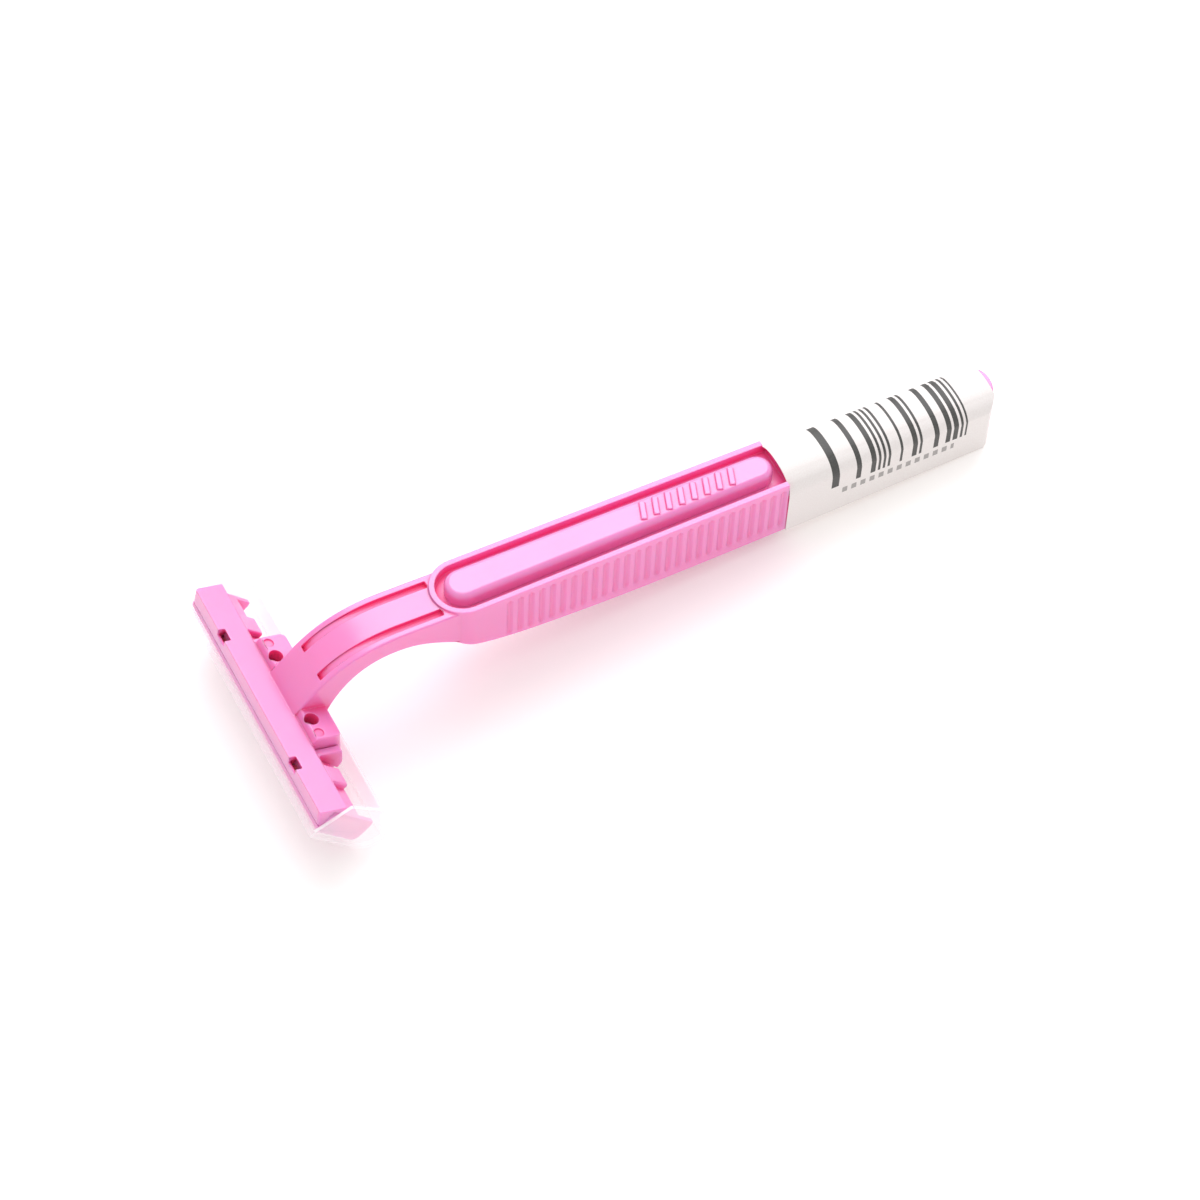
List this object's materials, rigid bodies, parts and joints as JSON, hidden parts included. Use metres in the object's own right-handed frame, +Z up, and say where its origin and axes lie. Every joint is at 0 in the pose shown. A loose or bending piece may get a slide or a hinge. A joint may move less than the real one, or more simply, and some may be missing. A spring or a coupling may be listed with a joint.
{
  "type": "cartridge razor",
  "caption": "Pink twin-blade disposable razor with a fixed T-shaped head, ribbed hollow grip, raised top panel, clear pull-off blade guard and a wrapped bar label.",
  "frame": {"origin": "middle of the bounding box, on the surface that the razor rests on", "axes": "+Z up, +X along the grip from the head to the tail, Y along the cutting edges; the grip slopes down to the tail as the razor lies face down"},
  "size_m": [0.118, 0.043, 0.0181],
  "materials": {
    "handle_plastic": "semi-gloss moulded pink",
    "panel_plastic": "semi-gloss moulded light pink",
    "seat_plastic": "semi-gloss moulded pink",
    "blade_steel": "fine ground",
    "spacer_metal": "satin",
    "cap_plastic": "semi-gloss moulded pink",
    "guard_plastic": "clear moulded plastic",
    "label_paper": "matt white with black bars"
  },
  "bodies": {
    "razor": {"handle": "handle_plastic", "grip_panel": "panel_plastic", "blade_seat": "seat_plastic", "lower_blade": "blade_steel", "blade_spacer": "spacer_metal", "upper_blade": "blade_steel", "cap": "cap_plastic", "barcode_label": "label_paper"},
    "guard": {"blade_guard": "guard_plastic"}
  },
  "joints": [
    {"name": "guard_pull_off", "type": "slide", "parent": "razor", "child": "guard", "axis": [-0.0913, 0, -0.9958], "range_m": [0, 0.014]}
  ]
}
